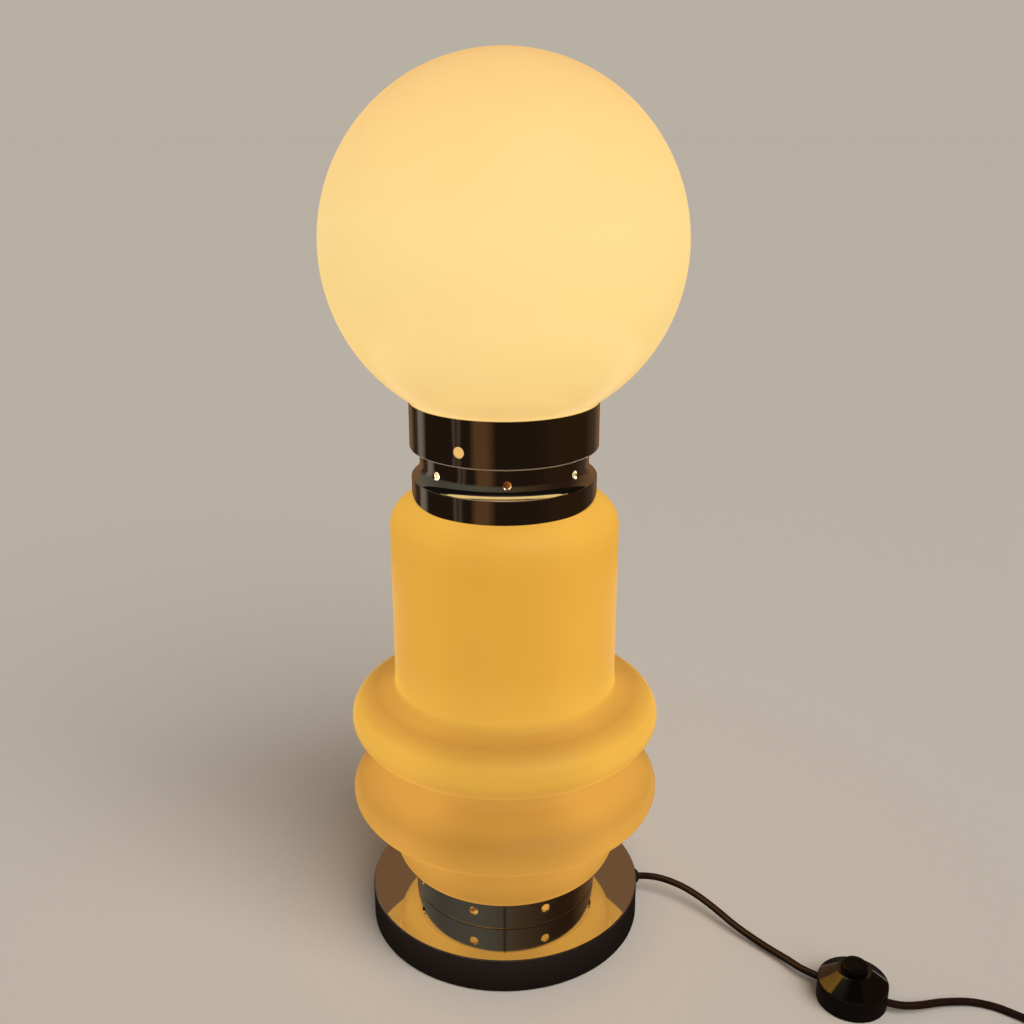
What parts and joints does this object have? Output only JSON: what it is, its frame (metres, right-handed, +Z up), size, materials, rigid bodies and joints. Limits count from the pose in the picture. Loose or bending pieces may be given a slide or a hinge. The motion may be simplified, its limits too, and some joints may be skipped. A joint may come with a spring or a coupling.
{
  "type": "table lamp",
  "caption": "Table lamp in opal glass and chrome: a lift-off globe in a collar on a blown body with round bulges, a mirror base, and a cord with a foot switch and plug.",
  "frame": {"origin": "middle of the base's felt, on the surface that the lamp stands on", "axes": "+Z up along the stem towards the globe, -Y towards the viewer of the picture, +X to the side where the cord leaves"},
  "size_m": [0.5469, 0.3649, 0.655],
  "materials": {
    "opal_glass": "gloss opal, lit from inside",
    "chrome": "mirror polish",
    "zinc_steel": "zinc plated",
    "black_steel": "satin",
    "ballast_iron": "as cast",
    "felt": "felt",
    "rubber": "matt",
    "holder_plastic": "moulded, gloss",
    "candle_holder_plastic": "moulded, satin",
    "porcelain": "glazed",
    "lamp_cap_metal": "rolled thread",
    "lamp_glass": "white inside coating",
    "lead_insulation": "satin",
    "terminal_plastic": "satin",
    "cord_brown": "smooth PVC",
    "switch_black": "gloss",
    "contact_brass": "stamped",
    "plug_brown": "moulded PVC",
    "pin_nickel": "nickel plated"
  },
  "bodies": {
    "lamp_body": {"body_glass": "opal_glass", "base_shell": "chrome", "vent_ring": "chrome", "waist_ring": "chrome", "globe_collar": "chrome", "stem_tube": "zinc_steel", "stem_nuts": "zinc_steel", "stem_washers": "zinc_steel", "cap_disc": "zinc_steel", "spacer_tube": "zinc_steel", "lamp_bracket": "zinc_steel", "plate_screws": "zinc_steel", "switch_screws": "zinc_steel", "switch_spring": "zinc_steel", "base_plate": "black_steel", "ballast_ring": "ballast_iron", "felt_pad": "felt", "lower_gasket": "rubber", "upper_gasket": "rubber", "globe_seat": "rubber", "cord_grommet": "rubber", "cord_tie": "rubber", "globe_lampholder": "holder_plastic", "body_lampholder_1": "candle_holder_plastic", "body_lampholder_2": "candle_holder_plastic", "body_lampholder_3": "candle_holder_plastic", "globe_holder_insert": "porcelain", "globe_lamp_cap": "lamp_cap_metal", "body_lamp_cap_1": "lamp_cap_metal", "body_lamp_cap_2": "lamp_cap_metal", "body_lamp_cap_3": "lamp_cap_metal", "globe_lamp_bulb": "lamp_glass", "body_lamp_bulb_1": "lamp_glass", "body_lamp_bulb_2": "lamp_glass", "body_lamp_bulb_3": "lamp_glass", "holder_leads": "lead_insulation", "riser_lead": "lead_insulation", "terminal_block": "terminal_plastic", "cord_clamp": "terminal_plastic", "inlet_lead": "cord_brown", "lamp_cord": "cord_brown", "plug_cord": "cord_brown", "cord_coil": "cord_brown", "switch_cover": "switch_black", "switch_base": "switch_black", "switch_terminals": "contact_brass", "plug_body": "plug_brown", "plug_pins": "pin_nickel"},
    "lifted_globe": {"globe_glass": "opal_glass"},
    "push_button": {"switch_button": "switch_black", "switch_contact": "contact_brass"}
  },
  "joints": [
    {"name": "globe_lift", "type": "slide", "parent": "lamp_body", "child": "lifted_globe", "axis": [0, 0, 1], "range_m": [0, 0.16]},
    {"name": "button_press", "type": "slide", "parent": "lamp_body", "child": "push_button", "axis": [0, 0, -1], "range_m": [0, 0.004], "stiffness_N_per_m": 700, "springref_m": -0.003, "deforming": ["switch_spring"]}
  ]
}
